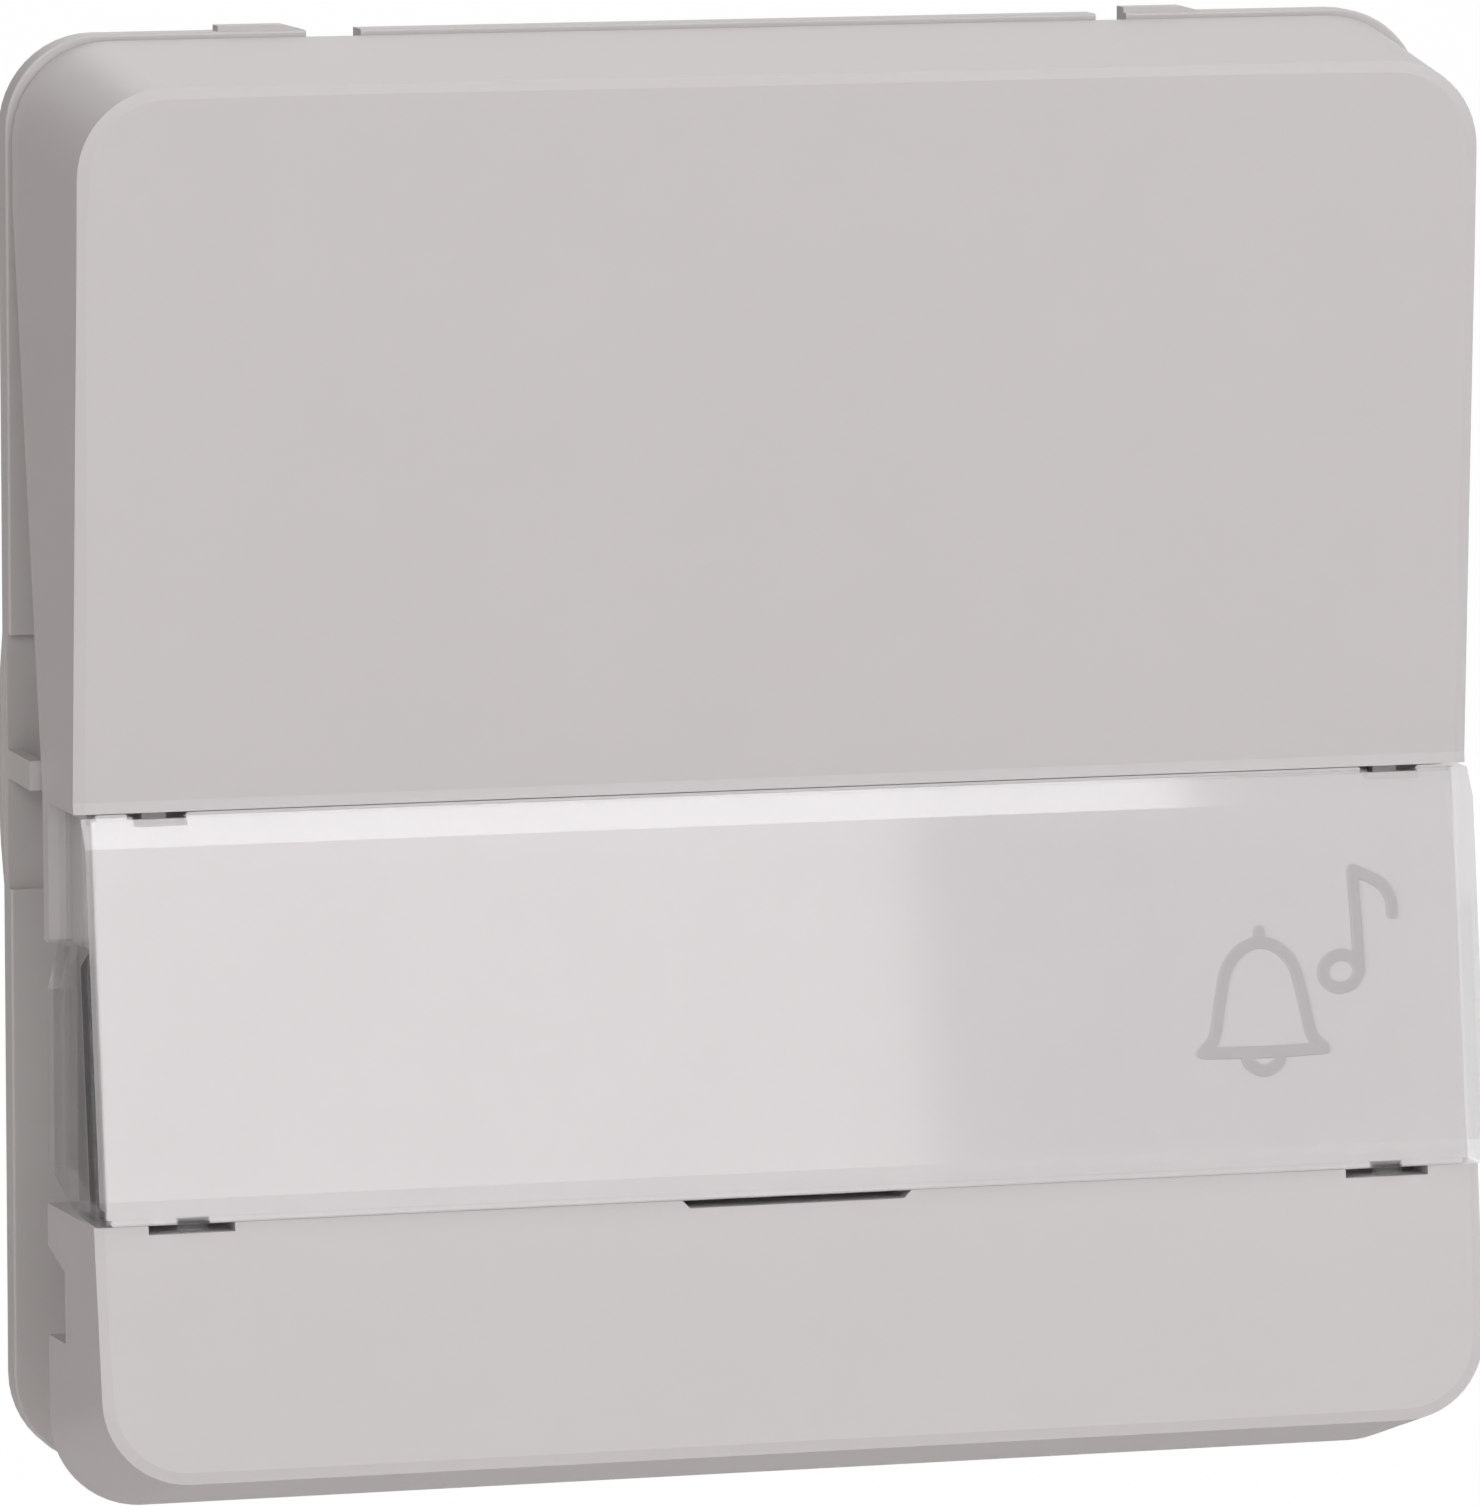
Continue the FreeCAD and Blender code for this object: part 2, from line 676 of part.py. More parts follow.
def isFaceEdge(edge):
    """Outer edges of the V-shaped face: every edge on one of its two planes but the valley."""
    mid = edge.valueAt((edge.FirstParameter + edge.LastParameter) / 2)
    points = [mid] + [vertex.Point for vertex in edge.Vertexes]
    if abs(mid.z) < TOUCH:
        return False
    face = upperFace if mid.z > 0 else lowerFace
    return all(abs(p.y + number(face(f"{p.z:.6f}"))) < TOUCH for p in points)


def wingPoints(gap):
    """Side outline of a window wing, grown by a gap, as (depth, height) pairs."""
    return [
        (FRONT_LIMIT, "recess_top"),
        (f"wing_upper_depth - ({gap})", "recess_top"),
        (f"wing_upper_depth - ({gap})", f"wing_bend_top + ({gap})"),
        (f"wing_lower_depth - ({gap})", f"wing_bend_bottom + ({gap})"),
        (f"wing_lower_depth - ({gap})", "recess_bottom"),
        (FRONT_LIMIT, "recess_bottom"),
    ]


def addWingSeats(body):
    """Steps in the key's sides that the clear wings lie in, open to the inside below their bend."""
    depth = f"({WINDOW_HALF} - wing_wall - wing_gap)"
    for sign, outward in (("", True), ("-", False)):
        seat = sideSketch(body, f"{sign}{depth}")
        sideOutline(seat, wingPoints("wing_gap"))
        pocket(body, seat, KEY_HALF, forward=outward)
        opening = sideSketch(body, f"{sign}({KEY_ROOM_HALF} - wing_gap)")
        sideOutline(opening, [
            ("-face_wall", "wing_bend_top"),
            (windowFace("wing_bend_top", RECESS_DEPTH), "wing_bend_top"),
            (windowFace("recess_bottom", RECESS_DEPTH), "recess_bottom"),
            ("-face_wall", "recess_bottom"),
        ])
        pocket(body, opening, KEY_HALF, forward=outward)


def addClipSlots(body):
    """Slots below the window for its two tongues, and the wider pry slot between them."""
    reach = f"{KEY_BLOCK} - {windowFace('recess_bottom')} + slot_reach"
    slots = frontSketch(body, KEY_BLOCK)
    for side in ("-", ""):
        rectangle(slots, f"{side}{SLOT_PLACE} - slot_width / 2", f"{side}{SLOT_PLACE} + slot_width / 2",
                  "recess_bottom - slot_drop", "recess_bottom + slot_drop")
    pocket(body, slots, reach)
    pry = frontSketch(body, KEY_BLOCK)
    outline(pry, [
        ("-pry_width / 2", "recess_bottom + pry_drop"),
        ("-pry_width / 2", "recess_bottom"),
        ("-pry_width / 2 + pry_drop", "recess_bottom - pry_drop"),
        ("pry_width / 2 - pry_drop", "recess_bottom - pry_drop"),
        ("pry_width / 2", "recess_bottom"),
        ("pry_width / 2", "recess_bottom + pry_drop"),
    ])
    pocket(body, pry, reach)


def makeKeyInside():
    """The hollow of the key: a stepped room under the V-shaped ceiling."""
    body = newBody("key_inside")
    top = f"({KEY_FRONT_TOP} - skirt_wall)"
    bottom = f"({KEY_FRONT_BOTTOM} + skirt_wall)"
    step = "(recess_break + recess_wall)"
    room = frontSketch(body)
    roundedRectangle(room, f"-{KEY_ROOM_HALF}", KEY_ROOM_HALF, bottom, top, "key_front_corner")
    pad(body, room, KEY_BLOCK)
    above = sideSketch(body)
    sideOutline(above, [
        (f"{lowerFace(bottom)} - face_wall", f"{bottom} - face_wall"),
        (f"{lowerFace('recess_bottom - face_wall')} - face_wall", "recess_bottom - face_wall"),
        (f"{windowFace('recess_bottom - face_wall', RECESS_DEPTH)} - recess_wall", "recess_bottom - face_wall"),
        (f"{windowFace(step, RECESS_DEPTH)} - recess_wall", step),
        (f"{windowFace(step, STACK_BELOW_PAD)} - recess_wall", step),
        (f"{windowFace('recess_top', STACK_BELOW_PAD)} - recess_wall", "recess_top"),
        (f"{upperFace('recess_top + face_wall')} - face_wall", "recess_top + face_wall"),
        (f"{upperFace(top)} - face_wall", f"{top} + face_wall"),
        (FRONT_LIMIT, f"{top} + face_wall"),
        (FRONT_LIMIT, f"{bottom} - face_wall"),
    ])
    pocket(body, above, KEY_CUT_WIDTH, symmetric=True)
    return body


def makeKeyInnerParts():
    """Trunnions, the two hooks above the window and the nub that drives the plunger."""
    pieces = []
    for side, sign in ((1, ""), (-1, "-")):
        body = newBody("trunnion_right" if side > 0 else "trunnion_left")
        pin = sideSketch(body, f"{sign}({KEY_ROOM_HALF} + skirt_wall / 2)")
        circle(pin, f"-{PIVOT_DEPTH}", "pivot_height", "trunnion_radius")
        pad(body, pin, "collar_gap + skirt_wall / 2 + trunnion_length", backward=side > 0)
        pieces.append(body)
    for side in ("", "-"):
        hook = newBody("hook_left" if side else "hook_right")
        tab = frontSketch(hook, f"{upperFace('recess_top')} - hook_sink")
        rectangle(tab, f"{side}{CLIP_PLACE} - hook_width / 2", f"{side}{CLIP_PLACE} + hook_width / 2",
                  "recess_top - hook_drop", "recess_top + hook_drop")
        pad(hook, tab, "hook_thick", backward=True)
        pieces.append(hook)
    web_depth = windowFace(f"{PLUNGER_PLACE} + nub_radius", RECESS_DEPTH)
    nub = newBody("plunger_nub")
    tip = sideSketch(nub)
    circle(tip, "-(nub_rear_depth + nub_radius)", PLUNGER_PLACE, "nub_radius")
    pad(nub, tip, "nub_width", symmetric=True)
    web = sideSketch(nub)
    sideOutline(web, [
        ("nub_rear_depth + nub_radius", f"{PLUNGER_PLACE} - nub_radius"),
        (f"{web_depth} - recess_wall / 2", f"{PLUNGER_PLACE} - nub_radius"),
        (f"{web_depth} - recess_wall / 2", f"{PLUNGER_PLACE} + nub_radius"),
        ("nub_rear_depth + nub_radius", f"{PLUNGER_PLACE} + nub_radius"),
    ])
    pad(nub, web, "nub_width", symmetric=True)
    pieces.append(nub)
    return pieces


# Clear window
def makeWindow():
    body = newBody("label_window")
    band_top = f"({WINDOW_TOP} - window_top_chamfer)"
    band_bottom = f"({WINDOW_BOTTOM} + window_bottom_chamfer)"
    block = sideSketch(body)
    sideOutline(block, [
        ("wing_upper_depth", WINDOW_TOP),
        (windowFace(WINDOW_TOP, "window_chamfer_drop"), WINDOW_TOP),
        (windowFace(band_top), band_top),
        (windowFace(band_bottom), band_bottom),
        (windowFace(WINDOW_BOTTOM, "window_chamfer_drop"), WINDOW_BOTTOM),
        ("wing_lower_depth + wing_foot_length", WINDOW_BOTTOM),
        ("wing_lower_depth", f"{WINDOW_BOTTOM} + wing_foot_rise"),
        ("wing_lower_depth", "wing_bend_bottom"),
        ("wing_upper_depth", "wing_bend_top"),
    ])
    pad(body, block, f"2 * {WINDOW_HALF}", symmetric=True)
    hollow = sideSketch(body)
    above = f"{WINDOW_TOP} + face_wall"
    under = f"{WINDOW_BOTTOM} - face_wall"
    sideOutline(hollow, [
        ("-face_wall", above),
        (windowFace(above, "window_wall"), above),
        (windowFace(under, "window_wall"), under),
        ("-face_wall", under),
    ])
    pocket(body, hollow, f"2 * ({WINDOW_HALF} - wing_wall)", symmetric=True)
    clips = frontSketch(body, KEY_BLOCK)
    for side in ("-", ""):
        rectangle(clips, f"{side}{CLIP_PLACE} - clip_width / 2", f"{side}{CLIP_PLACE} + clip_width / 2",
                  f"{WINDOW_TOP} - clip_drop", f"{WINDOW_TOP} + clip_drop")
    pocket(body, clips, KEY_BLOCK)
    snaps = frontSketch(body, windowFace(WINDOW_BOTTOM, "snap_sink"))
    for side in ("-", ""):
        rectangle(snaps, f"{side}{SLOT_PLACE} - snap_width / 2", f"{side}{SLOT_PLACE} + snap_width / 2",
                  f"{WINDOW_BOTTOM} - slot_drop", f"{WINDOW_BOTTOM} + label_margin - stack_gap")
    pad(body, snaps, "snap_thick", backward=True)
    return body


# Label stack under the window
def makeSlice(label, below, thick, margin):
    """Flat plate parallel to the window, set in from its top and bottom edges."""
    body = newBody(label)
    top = f"({WINDOW_TOP} - {margin})"
    bottom = f"({WINDOW_BOTTOM} + {margin})"
    profile = sideSketch(body)
    sideOutline(profile, [
        (windowFace(top, below), top),
        (windowFace(top, f"{below} + {thick}"), top),
        (windowFace(bottom, f"{below} + {thick}"), bottom),
        (windowFace(bottom, below), bottom),
    ])
    pad(body, profile, f"2 * {LABEL_HALF}", symmetric=True)
    return body


def makeBackingPad():
    """Soft strip that fills the deeper part of the recess behind the backing, with a slanted top end."""
    body = newBody("backing_pad")
    high = "(recess_break - stack_gap)"
    low = f"({WINDOW_BOTTOM} + window_gap)"
    profile = sideSketch(body)
    sideOutline(profile, [
        (windowFace(f"{high} - pad_drop", RECESS_DEPTH), f"{high} - pad_drop"),
        (windowFace(high, STACK_BELOW_PAD), high),
        (windowFace(low, STACK_BELOW_PAD), low),
        (windowFace(low, RECESS_DEPTH), low),
    ])
    pad(body, profile, f"2 * {LABEL_HALF}", symmetric=True)
    return body


# Switch housing behind the frame
def makeCover():
    """Front plate of the housing, which sits in the frame's shallow seat and carries the guide tower."""
    body = newBody("housing_cover")
    plate = frontSketch(body, "-cover_thick")
    roundedSquare(plate, "housing_width / 2", "housing_corner")
    pad(body, plate, "cover_thick + cover_sink")
    tower = frontSketch(body)
    circle(tower, "0", PLUNGER_PLACE, "tower_radius")
    pad(body, tower, "tower_depth")
    holes = frontSketch(body, "-cover_thick")
    circle(holes, "0", PLUNGER_PLACE, "plunger_radius + plunger_clearance")
    pocket(body, holes, "cover_thick + tower_depth", forward=True)
    screws = frontSketch(body, "-cover_thick")
    screwCircles(screws, "screw_radius + screw_clearance")
    pocket(body, screws, "cover_thick + cover_sink", forward=True)
    return body


def makeHousing():
    body = newBody("housing")
    block = frontSketch(body, "-housing_depth")
    roundedSquare(block, "housing_width / 2", "housing_corner")
    pad(body, block, "housing_depth - cover_thick")
    finish(body, "Chamfer", lambda edge: abs(edge.BoundBox.YMin - number("housing_depth")) < TOUCH,
           "housing_chamfer")
    room = frontSketch(body, f"-{HOUSING_FLOOR}")
    roundedSquare(room, HOUSING_INNER, "housing_corner - housing_wall")
    pocket(body, room, f"{HOUSING_FLOOR} - cover_thick", forward=True)
    bosses = frontSketch(body, f"-{HOUSING_FLOOR}")
    screwCircles(bosses, "screw_boss_radius")
    pad(body, bosses, f"{HOUSING_FLOOR} - cover_thick")
    screws = frontSketch(body, "-cover_thick")
    screwCircles(screws, "screw_radius + screw_clearance / 2")
    pocket(body, screws, "screw_length")
    seat = frontSketch(body, f"-{HOUSING_FLOOR}")
    circle(seat, "0", PLUNGER_PLACE, "spring_seat_radius")
    pad(body, seat, "spring_seat_rise")
    pin = frontSketch(body, f"-{HOUSING_FLOOR}")
    circle(pin, "0", PLUNGER_PLACE, "spring_pin_radius")
    pad(body, pin, "spring_seat_rise + 2 * spring_wire")
    addWireEntries(body)
    field = frontSketch(body, "-housing_depth")
    rectangle(field, "-field_width / 2", "field_width / 2", "field_bottom", "field_top")
    pocket(body, field, "field_depth", forward=True)
    return body


def addWireEntries(body):
    """Two round wire entries and one release slot for each terminal."""
    bosses = frontSketch(body, f"-{HOUSING_FLOOR}")
    bores = frontSketch(body, "-housing_depth")
    funnels = frontSketch(body, "-housing_depth")
    slots = frontSketch(body, "-housing_depth")
    for side in ("-", ""):
        for level in ("wire_upper", "wire_lower"):
            circle(bosses, f"{side}wire_place_x", level, "wire_radius + wire_funnel_depth")
            circle(bores, f"{side}wire_place_x", level, "wire_radius")
            circle(funnels, f"{side}wire_place_x", level, "wire_funnel_radius")
        half = "(lever_width / 2 + lever_clearance)"
        middle = "((wire_upper + wire_lower) / 2)"
        rise = "(lever_height / 2 + lever_clearance)"
        rectangle(slots, f"{side}{LEVER_PLACE} - {half}", f"{side}{LEVER_PLACE} + {half}",
                  f"{middle} - {rise}", f"{middle} + {rise}")
    pad(body, bosses, "wire_boss")
    pocket(body, bores, "housing_floor + wire_boss", forward=True)
    pocket(body, funnels, "wire_funnel_depth", forward=True)
    pocket(body, slots, "housing_floor", forward=True)


def makeScrews():
    """Four pan-head screws that hold frame, cover and housing together."""
    screws = []
    for side in (-1, 1):
        for level in (-1, 1):
            name = f"screw_{'left' if side < 0 else 'right'}_{'low' if level < 0 else 'high'}"
            body = newBody(name)
            sign = "-" if side < 0 else ""
            place = f"{sign}{SCREW_PLACE}"
            height = f"-{SCREW_PLACE}" if level < 0 else SCREW_PLACE
            head = frontSketch(body, "plate_thick")
            circle(head, place, height, "screw_head_radius")
            pad(body, head, "screw_head_thick")
            shank = frontSketch(body, "plate_thick")
            circle(shank, place, height, "screw_radius")
            pad(body, shank, "screw_length", backward=True)
            drive = frontSketch(body, "plate_thick + screw_head_thick")
            circle(drive, place, height, "screw_drive_radius")
            pocket(body, drive, "screw_drive_depth")
            screws.append(body)
    group = doc.addObject("Part::Compound", "frame_screws")
    group.Label = "frame_screws"
    group.Links = screws
    doc.recompute()
    return group


def makeRearSeal():
    body = newBody("rear_seal")
    ring = frontSketch(body)
    ringOutline(ring)
    pad(body, ring, "ring_depth")
    return body


def makePlungerSeal():
    """Rubber cap over the guide tower with a lip round the plunger."""
    body = newBody("plunger_seal")
    cap = frontSketch(body, "plate_thick")
    circle(cap, "0", PLUNGER_PLACE, "tower_radius + seal_clearance + seal_wall")
    pad(body, cap, "tower_depth + seal_lip - plate_thick")
    room = frontSketch(body, "plate_thick")
    circle(room, "0", PLUNGER_PLACE, "tower_radius + seal_clearance")
    pocket(body, room, "tower_depth - plate_thick", forward=True)
    lip = frontSketch(body, "plate_thick")
    circle(lip, "0", PLUNGER_PLACE, "plunger_radius + seal_clearance")
    pocket(body, lip, "tower_depth + seal_lip", forward=True)
    return body


# Plunger and contacts
def makePlunger():
    body = newBody("plunger")
    stem = frontSketch(body, f"-{BLOCK_REAR}")
    circle(stem, "0", PLUNGER_PLACE, "plunger_radius - plunger_clearance")
    pad(body, stem, f"{BLOCK_REAR} + nub_rear_depth - plunger_lost_motion")
    block = frontSketch(body, f"-{BLOCK_REAR}")
    rectangle(block, "-plunger_block_half_x", "plunger_block_half_x",
              f"{PLUNGER_PLACE} - plunger_block_half_z", f"{PLUNGER_PLACE} + plunger_block_half_z")
    pad(body, block, "plunger_block_depth")
    slot = sideSketch(body)
    sideOutline(slot, [
        (f"-({BRIDGE_REAR})", f"{PLUNGER_PLACE} - bridge_height / 2"),
        (f"bridge_thick - {BRIDGE_REAR}", f"{PLUNGER_PLACE} - bridge_height / 2"),
        (f"bridge_thick - {BRIDGE_REAR}", f"{PLUNGER_PLACE} + bridge_height / 2"),
        (f"-({BRIDGE_REAR})", f"{PLUNGER_PLACE} + bridge_height / 2"),
    ])
    pocket(body, slot, "2 * plunger_block_half_x + bridge_thick", symmetric=True)
    return body


def makeBridge():
    body = newBody("contact_bridge")
    strip = frontSketch(body, f"-{BRIDGE_REAR}")
    half = "(rivet_place + rivet_radius + bridge_margin)"
    rectangle(strip, f"-{half}", half,
              f"{PLUNGER_PLACE} - bridge_height / 2", f"{PLUNGER_PLACE} + bridge_height / 2")
    pad(body, strip, "bridge_thick")
    return body


def makeRivets(label, depth, backward):
    """Pair of round contact rivets."""
    pair = []
    for name, sign in (("left", "-"), ("right", "")):
        body = newBody(f"{label}_{name}")
        disc = frontSketch(body, depth)
        circle(disc, f"{sign}rivet_place", PLUNGER_PLACE, "rivet_radius")
        pad(body, disc, "rivet_rise", backward=backward)
        pair.append(body)
    group = doc.addObject("Part::Compound", label)
    group.Label = label
    group.Links = pair
    doc.recompute()
    return group


def makeFixedContact(label, sign):
    """L-shaped contact strip: a head under the bridge and a leg along the terminal."""
    body = newBody(label)
    rear = f"({CONTACT_FACE} + contact_thick)"
    inner = f"{sign}(rivet_place - rivet_radius - contact_margin)"
    outer = f"{sign}{CONTACT_OUTER}"
    head = topSketch(body, CONTACT_LOW)
    outline(head, [(inner, CONTACT_FACE), (outer, CONTACT_FACE), (outer, rear), (inner, rear)])
    pad(body, head, "2 * contact_half_height")
    leg = topSketch(body, CONTACT_LOW)
    side = f"{sign}({CONTACT_OUTER} - contact_thick)"
    foot = f"({HOUSING_FLOOR} - wire_boss)"
    outline(leg, [(side, CONTACT_FACE), (outer, CONTACT_FACE), (outer, foot), (side, foot)])
    pad(body, leg, f"wire_upper + contact_leg_rise - {CONTACT_LOW}")
    return body


def makeClampSpring(label, sign):
    """Bent leaf: its back stands on the housing floor, its arm presses towards the contact leg."""
    body = newBody(label)
    low = f"({CONTACT_LOW} + clamp_side_gap)"
    back = f"{sign}{CLAMP_BASE}"
    front_of_back = f"{sign}({CLAMP_BASE} + clamp_thick)"
    bend = f"{sign}({CLAMP_BASE} + clamp_arm)"
    tip = f"{sign}({CONTACT_OUTER} - contact_thick - clamp_gap)"
    peak_depth = f"({HOUSING_FLOOR} - clamp_peak_rise)"
    tip_depth = f"({HOUSING_FLOOR} - clamp_tip_rise)"
    leaf = topSketch(body, low)
    outline(leaf, [
        (back, HOUSING_FLOOR),
        (back, peak_depth),
        (bend, peak_depth),
        (tip, f"{tip_depth} - clamp_thick"),
        (tip, tip_depth),
        (bend, f"{peak_depth} + clamp_bend"),
        (front_of_back, f"{peak_depth} + clamp_thick"),
        (front_of_back, HOUSING_FLOOR),
    ])
    pad(body, leaf, f"wire_upper + contact_leg_rise - clamp_side_gap - {low}")
    return body


def makeReleaseLever(label, sign):
    """Push bar that opens the wire clamp, with a collar that keeps it in the housing."""
    body = newBody(label)
    middle = "((wire_upper + wire_lower) / 2)"
    left = f"{sign}{LEVER_PLACE} - lever_width / 2"
    right = f"{sign}{LEVER_PLACE} + lever_width / 2"
    bar = frontSketch(body, "-(housing_depth + lever_head)")
    rectangle(bar, left, right, f"{middle} - lever_height / 2", f"{middle} + lever_height / 2")
    pad(body, bar, "housing_floor + lever_head + lever_tip_rise")
    collar = frontSketch(body, f"-({HOUSING_FLOOR} - wire_boss - lever_gap)")
    rectangle(collar, left, right, f"{middle} - lever_height / 2 - lever_collar",
              f"{middle} + lever_height / 2 + lever_collar")
    pad(body, collar, "lever_collar_thick")
    return body


def makeReturnSpring():
    """Coil spring between the plunger and its seat in the housing."""
    body = newBody("return_spring")
    length = f"({SPRING_SEAT} - {BLOCK_REAR} - spring_wire - 2 * stack_gap)"
    wire = sideSketch(body)
    wire.AttachmentOffset = FreeCAD.Placement(Vector(0, number(PLUNGER_PLACE), 0), FreeCAD.Rotation())
    wire.setExpression("AttachmentOffset.Base.y", bound(PLUNGER_PLACE))
    start = f"({SPRING_SEAT} - spring_wire / 2 - stack_gap)"
    corners = [f"(90 deg + {i} * 360 deg / spring_sides)" for i in range(int(SIZES["spring_sides"]))]
    outline(wire, [
        (f"{start} + spring_wire / 2 * sin({turn})", f"spring_radius + spring_wire / 2 * cos({turn})")
        for turn in corners
    ])
    helix = body.newObject("PartDesign::AdditiveHelix", "spring_coil")
    helix.Profile = wire
    helix.ReferenceAxis = (wire, ["H_Axis"])
    helix.Mode = "height-turns-growth"
    helix.Height = number(length)
    helix.setExpression("Height", bound(length))
    helix.Turns = number("spring_turns")
    helix.setExpression("Turns", bound("spring_turns"))
    helix.Reversed = True
    doc.recompute()
    return body


def makeAll():
    return [
        makeFrame(),
        makeRearSeal(),
        makeCover(),
        makeHousing(),
        makeScrews(),
        makePlungerSeal(),
        makeFixedContact("contact_left", "-"),
        makeFixedContact("contact_right", ""),
        makeRivets("fixed_rivets", f"-{CONTACT_FACE}", False),
        makeClampSpring("clamp_spring_left", "-"),
        makeClampSpring("clamp_spring_right", ""),
        makeReleaseLever("release_lever_left", "-"),
        makeReleaseLever("release_lever_right", ""),
        makePlunger(),
        makeBridge(),
        makeRivets("bridge_rivets", f"-{BRIDGE_REAR}", True),
        makeReturnSpring(),
        makeKey(),
        makeWindow(),
        makeSlice("label_insert", STACK_BELOW_LABEL, "label_thick", "label_margin"),
        makeSlice("label_backing", STACK_BELOW_BACKING, "backing_thick", "backing_margin"),
        makeBackingPad(),
    ]


pieces = makeAll()
doc.recompute()
for item in doc.Objects:
    if any(state in ("Invalid", "Error") for state in item.State):
        raise ValueError(f"{item.Label} failed: {item.State}")
for piece in pieces:
    if piece.Shape.isNull() or not piece.Shape.isValid() or not piece.Shape.Solids:
        raise ValueError(f"{piece.Label} has no valid shape")
os.makedirs("parts", exist_ok=True)
for piece in pieces:
    piece.Shape.exportStep(f"parts/{piece.Label}.step")
    box = piece.Shape.BoundBox
    print(f"{piece.Label}: {len(piece.Shape.Solids)} solid, {piece.Shape.Volume:.1f} mm3, "
          f"x {box.XMin:.2f}..{box.XMax:.2f} y {box.YMin:.2f}..{box.YMax:.2f} z {box.ZMin:.2f}..{box.ZMax:.2f}")
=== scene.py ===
import math

import bpy
import numpy as np
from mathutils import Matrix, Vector
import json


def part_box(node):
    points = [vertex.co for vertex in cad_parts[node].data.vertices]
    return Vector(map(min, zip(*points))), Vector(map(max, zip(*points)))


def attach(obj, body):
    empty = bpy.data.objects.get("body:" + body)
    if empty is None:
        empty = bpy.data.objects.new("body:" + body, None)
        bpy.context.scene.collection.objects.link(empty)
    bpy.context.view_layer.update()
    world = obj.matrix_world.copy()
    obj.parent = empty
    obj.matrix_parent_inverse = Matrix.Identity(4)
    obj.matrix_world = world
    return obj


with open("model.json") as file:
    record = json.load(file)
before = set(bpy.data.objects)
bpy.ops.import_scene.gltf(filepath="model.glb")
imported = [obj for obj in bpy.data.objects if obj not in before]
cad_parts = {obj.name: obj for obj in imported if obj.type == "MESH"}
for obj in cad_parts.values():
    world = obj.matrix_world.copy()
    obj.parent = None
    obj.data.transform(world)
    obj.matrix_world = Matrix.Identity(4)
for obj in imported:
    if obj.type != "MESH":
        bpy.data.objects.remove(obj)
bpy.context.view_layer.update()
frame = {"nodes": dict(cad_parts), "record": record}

scene = bpy.context.scene
nodes = frame["nodes"]
mm = 0.001
print("stage: frame loaded with", len(nodes), "nodes")

noiseMiddle = (0.3, 0.7)  # nearly all values of a noise lie between these


def screenColour(values):
    # 0-255 screen values become the linear numbers that a shader takes, by the sRGB curve
    share = np.array(values) / 255
    linear = np.where(share <= 0.04045, share / 12.92, ((share + 0.055) / 1.055) ** 2.4)
    return (*[float(v) for v in linear], 1.0)


def newSurface(name, sockets):
    # a material with one shader, whose plain sockets are set directly
    material = bpy.data.materials.new(name)
    material.use_nodes = True
    tree = material.node_tree
    tree.nodes.clear()
    output = tree.nodes.new("ShaderNodeOutputMaterial")
    shader = tree.nodes.new("ShaderNodeBsdfPrincipled")
    tree.links.new(shader.outputs[0], output.inputs[0])
    for socket, value in sockets.items():
        shader.inputs[socket].default_value = value
    return material, tree, shader


def noiseOn(tree, size, detail, stretch=(1, 1, 1)):
    # noise in the object's own coordinates, whose features are about size metres across;
    # a stretch below 1 draws them out along that axis
    place = tree.nodes.new("ShaderNodeTexCoord")
    mapping = tree.nodes.new("ShaderNodeMapping")
    mapping.inputs["Scale"].default_value = stretch
    noise = tree.nodes.new("ShaderNodeTexNoise")
    noise.inputs["Scale"].default_value = 1 / size
    noise.inputs["Detail"].default_value = detail
    tree.links.new(place.outputs["Object"], mapping.inputs["Vector"])
    tree.links.new(mapping.outputs[0], noise.inputs["Vector"])
    return noise.outputs["Fac"]


def spreadOver(tree, source, low, high):
    # middle values of a noise spread over a range
    spread = tree.nodes.new("ShaderNodeMapRange")
    spread.inputs["From Min"].default_value = noiseMiddle[0]
    spread.inputs["From Max"].default_value = noiseMiddle[1]
    spread.inputs["To Min"].default_value = low
    spread.inputs["To Max"].default_value = high
    tree.links.new(source, spread.inputs["Value"])
    return spread.outputs[0]


def tintBetween(tree, shader, source, low, high):
    # the noise picks a tint between two screen colours
    tint = tree.nodes.new("ShaderNodeMix")
    tint.data_type = "RGBA"
    tint.inputs["A"].default_value = screenColour(low)
    tint.inputs["B"].default_value = screenColour(high)
    tree.links.new(spreadOver(tree, source, 0.0, 1.0), tint.inputs["Factor"])
    tree.links.new(tint.outputs["Result"], shader.inputs["Base Color"])


def sheenBetween(tree, shader, source, rough):
    # the noise picks a roughness between two values
    tree.links.new(spreadOver(tree, source, *rough), shader.inputs["Roughness"])


def grainBump(tree, shader, source, depth):
    # the noise raises the surface by up to depth metres
    bump = tree.nodes.new("ShaderNodeBump")
    bump.inputs["Strength"].default_value = 1.0
    bump.inputs["Distance"].default_value = depth
    tree.links.new(source, bump.inputs["Height"])
    tree.links.new(bump.outputs[0], shader.inputs["Normal"])


